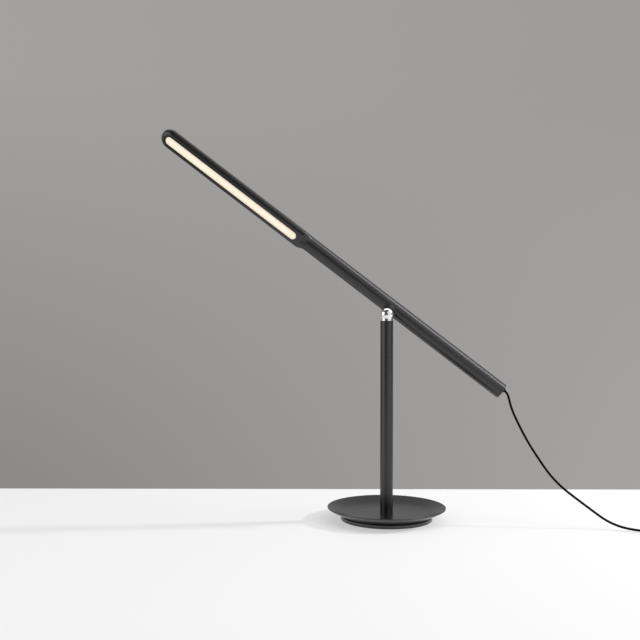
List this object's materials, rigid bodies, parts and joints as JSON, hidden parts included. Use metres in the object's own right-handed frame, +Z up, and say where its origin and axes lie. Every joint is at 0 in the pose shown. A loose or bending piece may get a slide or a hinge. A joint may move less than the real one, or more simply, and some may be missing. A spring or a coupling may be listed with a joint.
{
  "type": "led desk lamp",
  "caption": "Desk lamp with a long flat-headed LED arm balanced on a ball joint, on an upright stem and a shallow dish base, with a cord from the arm's tail.",
  "frame": {"origin": "middle of the foot pad's underside, on the stem's axis", "axes": "+Z up along the stem, +X towards the arm's tail and the cord, +Y away from the picture's camera"},
  "size_m": [0.7706, 0.1814, 0.547],
  "materials": {
    "black_steel": "satin",
    "black_aluminium": "satin",
    "foot_felt": "matte",
    "zinc_steel": "satin",
    "brass_bush": "satin",
    "chrome": "polished",
    "steel_clamp": "satin",
    "black_nylon": "matte",
    "lit_diffuser": "matte",
    "bare_aluminium": "satin",
    "grey_film": "matte",
    "white_board": "matte",
    "led_yellow": "gloss",
    "wire_red": "satin",
    "green_board": "satin",
    "black_plastic": "matte",
    "black_rubber": "satin",
    "tie_black": "matte",
    "nickel": "gloss"
  },
  "bodies": {
    "base": {"base_dish": "black_steel", "base_plinth": "black_steel", "foot_pad": "foot_felt", "plinth_screws": "zinc_steel", "stem_bolt": "zinc_steel", "stem_washer": "zinc_steel", "stem_tube": "black_steel", "stem_foot_insert": "zinc_steel", "stem_top_bush": "brass_bush"},
    "swivel": {"swivel_collar": "chrome", "pivot_ball": "chrome", "swivel_washer": "zinc_steel", "swivel_nut": "zinc_steel", "cord_drop": "black_rubber", "cord_coil": "black_rubber", "cord_tail": "black_rubber", "cord_tie": "tie_black", "adapter_case": "black_plastic", "adapter_cover": "black_plastic", "adapter_board": "green_board", "adapter_blades": "nickel", "adapter_relief": "black_rubber"},
    "tilt": {"socket_liner": "black_nylon"},
    "arm": {"arm_tube": "black_aluminium", "led_diffuser": "lit_diffuser", "led_tray": "bare_aluminium", "thermal_pad": "grey_film", "led_board": "white_board", "leds": "led_yellow", "led_leads": "wire_red", "ball_socket": "black_aluminium", "socket_magnet": "zinc_steel", "socket_clamp": "steel_clamp", "driver_board": "green_board", "tact_switch": "black_plastic", "button_bezel": "black_plastic", "counterweight": "zinc_steel", "end_cap": "black_aluminium", "cord_gland": "black_rubber", "inner_cable": "black_rubber"},
    "button": {"power_button": "black_plastic"}
  },
  "joints": [
    {"name": "stem_swivel", "type": "hinge", "parent": "base", "child": "swivel", "pos_m": [0, 0, 0.2858], "axis": [0, 0, 1], "range_deg": [-170, 170]},
    {"name": "arm_tilt", "type": "hinge", "parent": "swivel", "child": "tilt", "pos_m": [0, 0, 0.2858], "axis": [0, 1, 0], "range_deg": [-57, 30]},
    {"name": "arm_roll", "type": "hinge", "parent": "tilt", "child": "arm", "pos_m": [0, 0, 0.2858], "axis": [0.7944, 0, -0.6074], "range_deg": [-4, 115]},
    {"name": "power_press", "type": "slide", "parent": "arm", "child": "button", "axis": [-0.3655, -0.7986, -0.4781], "range_m": [0, 0.0006], "stiffness_N_per_m": 800}
  ]
}
